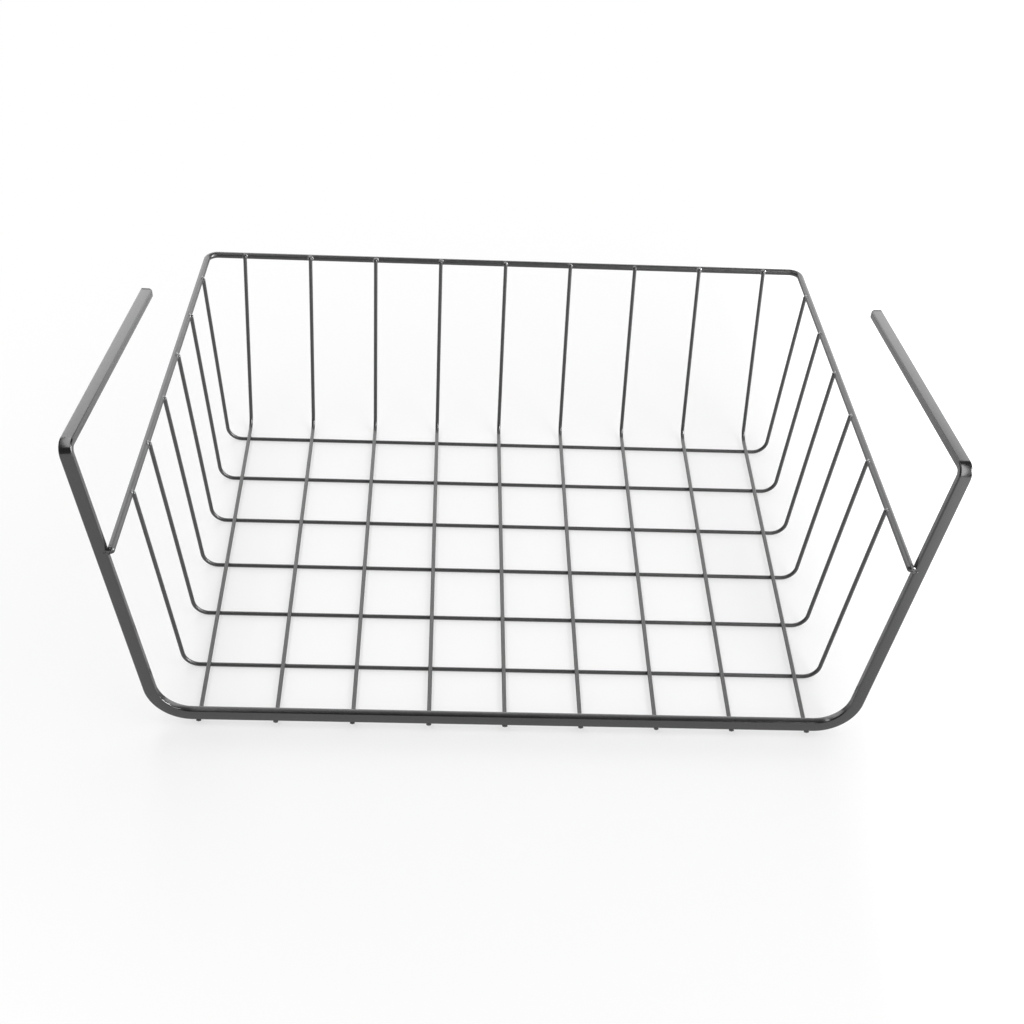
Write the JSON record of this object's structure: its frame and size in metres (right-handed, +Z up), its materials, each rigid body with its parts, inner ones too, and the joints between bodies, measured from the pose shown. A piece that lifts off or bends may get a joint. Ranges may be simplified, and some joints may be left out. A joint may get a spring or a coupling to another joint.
{
  "type": "under-shelf wire basket",
  "caption": "Open-front wire basket that hangs under a shelf from two level flat-bar arms, with a grid floor, low wire walls and a round rim rod.",
  "frame": {"origin": "on the surface that the basket stands on, below the middle of its overall box", "axes": "+X to the basket's right seen from its open front, +Y from the open front to the rear wall, +Z up"},
  "size_m": [0.399, 0.271, 0.1681],
  "materials": {
    "satin_black_paint": "satin black powder coat on steel"
  },
  "bodies": {
    "root": {"hanger_hoop": "satin_black_paint", "rim_rod": "satin_black_paint", "cross_wire_1": "satin_black_paint", "cross_wire_2": "satin_black_paint", "cross_wire_3": "satin_black_paint", "cross_wire_4": "satin_black_paint", "cross_wire_5": "satin_black_paint", "cross_wire_6": "satin_black_paint", "long_wire_1": "satin_black_paint", "long_wire_2": "satin_black_paint", "long_wire_3": "satin_black_paint", "long_wire_4": "satin_black_paint", "long_wire_5": "satin_black_paint", "long_wire_6": "satin_black_paint", "long_wire_7": "satin_black_paint", "long_wire_8": "satin_black_paint", "long_wire_9": "satin_black_paint"}
  },
  "joints": []
}
